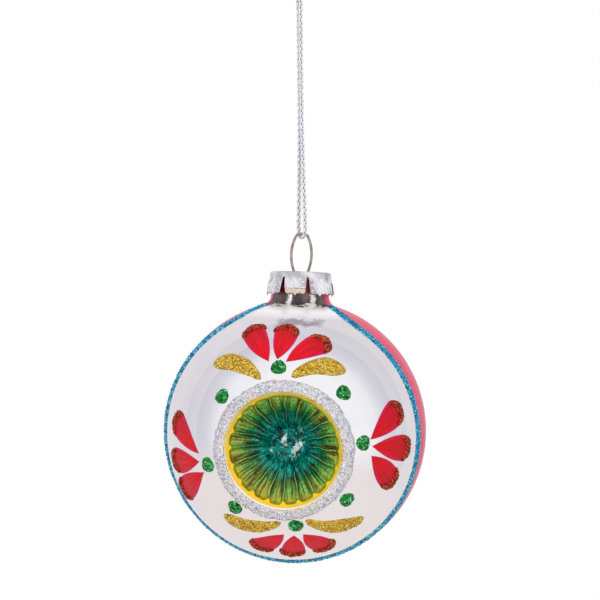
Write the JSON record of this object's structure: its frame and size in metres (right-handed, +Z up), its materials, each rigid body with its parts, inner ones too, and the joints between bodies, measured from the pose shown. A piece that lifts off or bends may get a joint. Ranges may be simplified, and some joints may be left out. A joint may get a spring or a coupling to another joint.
{
  "type": "glass ball ornament",
  "caption": "Round silvered glass hanging ornament with a fluted reflector hollow, raised glitter flowers, a pink lacquered back, a crimped metal cap, a wire hanger and a cord loop.",
  "frame": {"origin": "the place the cord's loop hangs from, just under its knot", "axes": "+Z up along the neck, -Y the way the painted face looks, +X to the face's right as seen"},
  "size_m": [0.0802, 0.078, 0.1913],
  "materials": {
    "cord": "silver chain-stitched cord",
    "wire": "drawn spring wire",
    "cap_metal": "bright embossed sheet",
    "glass": "clear blown glass",
    "silvering": "silvered",
    "pink_lacquer": "clear pink lacquer",
    "green_lacquer": "teal to olive clear lacquer",
    "yellow_lacquer": "yellow lacquer",
    "silver_glitter": "silver glitter",
    "turquoise_glitter": "turquoise glitter",
    "green_glitter": "emerald glitter",
    "red_paint": "crimson lacquer",
    "copper_glitter": "copper-red glitter",
    "gold_glitter": "gold glitter"
  },
  "bodies": {
    "cord": {"cord": "cord", "cord_knot": "cord"},
    "hanger": {"hanger_wire": "wire"},
    "cap": {"cap": "cap_metal"},
    "ball": {"glass_ball": "glass", "silver_lining": "silvering", "back_lacquer": "pink_lacquer", "reflector_lacquer": "green_lacquer", "lip_lacquer": "yellow_lacquer", "ring_glitter": "silver_glitter", "rim_bead": "turquoise_glitter", "dot_top": "green_glitter", "dot_upper_right": "green_glitter", "dot_right": "green_glitter", "dot_lower_right": "green_glitter", "dot_bottom": "green_glitter", "dot_lower_left": "green_glitter", "dot_left": "green_glitter", "dot_upper_left": "green_glitter", "petal_top_1": "red_paint", "petal_top_2": "red_paint", "petal_top_3": "red_paint", "petal_right_1": "red_paint", "petal_right_2": "red_paint", "petal_right_3": "red_paint", "petal_bottom_1": "red_paint", "petal_bottom_2": "red_paint", "petal_bottom_3": "red_paint", "petal_left_1": "red_paint", "petal_left_2": "red_paint", "petal_left_3": "red_paint", "petal_tip_top_1": "copper_glitter", "petal_tip_top_2": "copper_glitter", "petal_tip_top_3": "copper_glitter", "petal_tip_right_1": "copper_glitter", "petal_tip_right_2": "copper_glitter", "petal_tip_right_3": "copper_glitter", "petal_tip_bottom_1": "copper_glitter", "petal_tip_bottom_2": "copper_glitter", "petal_tip_bottom_3": "copper_glitter", "petal_tip_left_1": "copper_glitter", "petal_tip_left_2": "copper_glitter", "petal_tip_left_3": "copper_glitter", "leaf_top_left": "gold_glitter", "leaf_top_right": "gold_glitter", "leaf_bottom_right": "gold_glitter", "leaf_bottom_left": "gold_glitter"}
  },
  "joints": [
    {"name": "swing", "type": "hinge", "parent": "cord", "child": "hanger", "pos_m": [0.0033, 0, -0.07648], "axis": [1, 0, 0], "range_deg": [-75, 75]},
    {"name": "turn", "type": "hinge", "parent": "hanger", "child": "cap", "pos_m": [0.0033, 0, -0.08835], "axis": [0, 0, 1], "continuous": true},
    {"name": "pull", "type": "slide", "parent": "cap", "child": "ball", "axis": [0, 0, -1], "range_m": [0, 0.026]}
  ]
}
